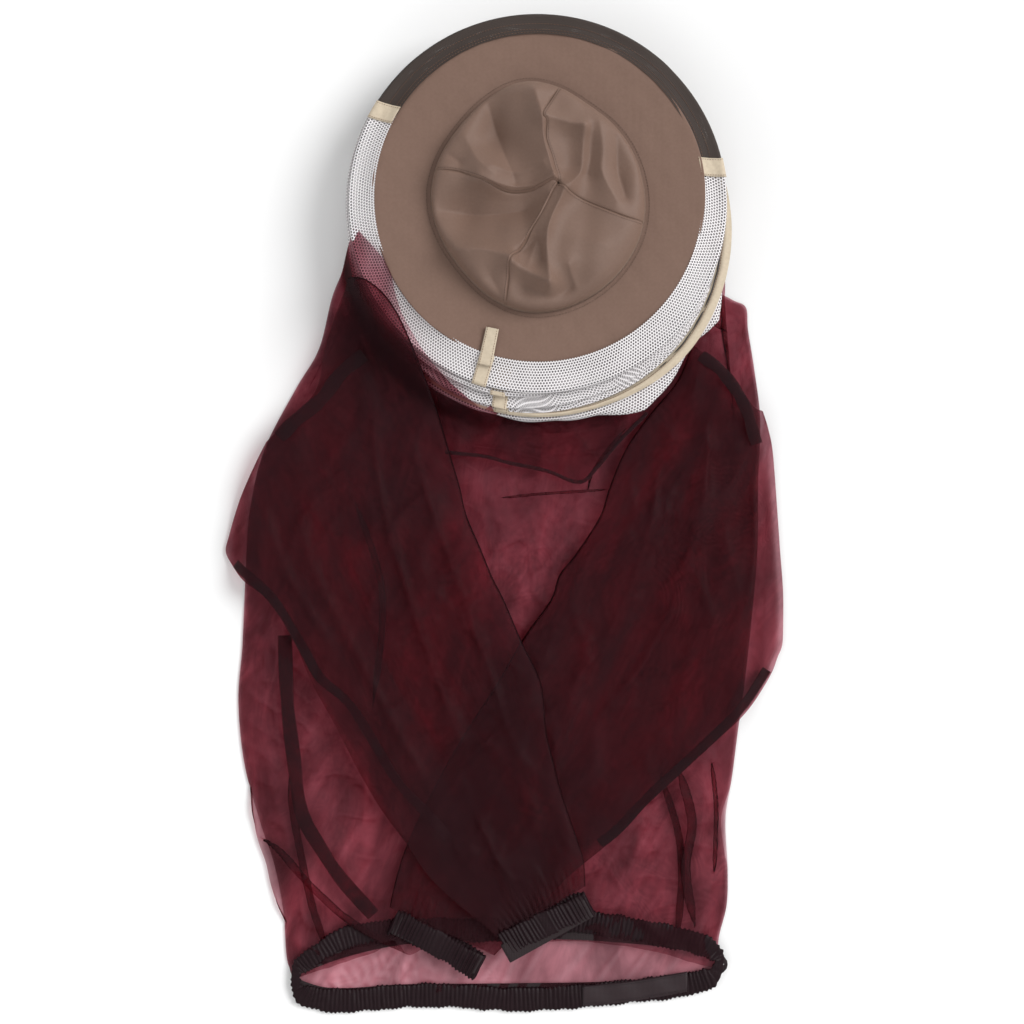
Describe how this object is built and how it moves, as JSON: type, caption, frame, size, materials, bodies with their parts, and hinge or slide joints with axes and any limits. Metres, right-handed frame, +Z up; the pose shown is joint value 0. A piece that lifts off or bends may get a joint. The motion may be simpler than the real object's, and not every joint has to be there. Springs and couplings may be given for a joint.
{
  "type": "beekeeping smock with veil hat",
  "caption": "Sheer pull-over smock lying flat, sleeves folded over the back, with elastic hem and cuffs and an attached brimmed hat on a collapsed mesh veil.",
  "frame": {"origin": "middle of the lying smock, on the underside of its front panel, which is the face it rests on", "axes": "+Z up out of the resting face, +Y from the hem toward the hat, +X toward the right sleeve's side"},
  "size_m": [0.5497, 0.957, 0.1066],
  "materials": {
    "organza": "satin",
    "casing_organza": "satin",
    "brim_cloth": "matte",
    "crown_cloth": "satin",
    "window_mesh": "matte",
    "side_mesh": "matte",
    "twill_tape": "matte",
    "hoop_wire": "satin",
    "elastic": "matte",
    "stiffener": "matte"
  },
  "bodies": {
    "jacket": {"torso_front": "organza", "torso_back": "organza", "neck_seam_tape": "twill_tape", "hem_casing": "casing_organza", "hem_elastic": "elastic", "hem_join_patch": "casing_organza"},
    "sleeve_left": {"sleeve_left": "organza", "cuff_left_casing": "casing_organza", "cuff_left_elastic": "elastic"},
    "sleeve_right": {"sleeve_right": "organza", "cuff_right_casing": "casing_organza", "cuff_right_elastic": "elastic"},
    "hoop": {"lower_hoop_casing": "twill_tape", "lower_hoop_wire": "hoop_wire", "veil_window_lower": "window_mesh", "veil_side_left_lower": "side_mesh", "veil_side_right_lower": "side_mesh"},
    "hat": {"upper_hoop_wire": "hoop_wire", "veil_window_rim": "window_mesh", "veil_side_left_rim": "side_mesh", "veil_side_right_rim": "side_mesh", "front_tape_left": "twill_tape", "front_tape_right": "twill_tape", "back_tape_rim": "twill_tape", "brim_lower_cover": "brim_cloth", "brim_stiffener": "stiffener", "brim_upper_cover": "brim_cloth", "crown_front_right": "crown_cloth", "crown_front_left": "crown_cloth", "crown_rear_left": "crown_cloth", "crown_rear_right": "crown_cloth", "sweatband": "twill_tape", "veil_window_upper": "window_mesh", "veil_side_left_upper": "side_mesh", "veil_side_right_upper": "side_mesh", "back_tape_lower": "twill_tape"},
    "tape_tail": {"back_tape_tail": "twill_tape"}
  },
  "joints": [
    {"name": "hoop_lift", "type": "slide", "parent": "jacket", "child": "hoop", "axis": [0, 0, 1], "range_m": [0, 0.11], "deforming": ["veil_window_lower", "veil_side_left_lower", "veil_side_right_lower"]},
    {"name": "hat_lift", "type": "slide", "parent": "hoop", "child": "hat", "axis": [0, 0, 1], "range_m": [0, 0.132], "deforming": ["veil_window_upper", "veil_side_left_upper", "veil_side_right_upper", "back_tape_lower"]},
    {"name": "sleeve_left_swing", "type": "hinge", "parent": "jacket", "child": "sleeve_left", "pos_m": [-0.157, 0.08, 0.0257], "axis": [0, 0, -1], "range_deg": [0, 75]},
    {"name": "sleeve_right_swing", "type": "hinge", "parent": "jacket", "child": "sleeve_right", "pos_m": [0.181, 0.07, 0.0167], "axis": [0, 0, 1], "range_deg": [0, 75]},
    {"name": "tape_tail_flip", "type": "hinge", "parent": "hat", "child": "tape_tail", "pos_m": [-0.0181, 0.1394, 0.0656], "axis": [0.9781, -0.2079, 0], "range_deg": [0, 170]}
  ],
  "couplings": [
    {"joint": "hat_lift", "follows": "hoop_lift", "ratio": 1.2}
  ]
}
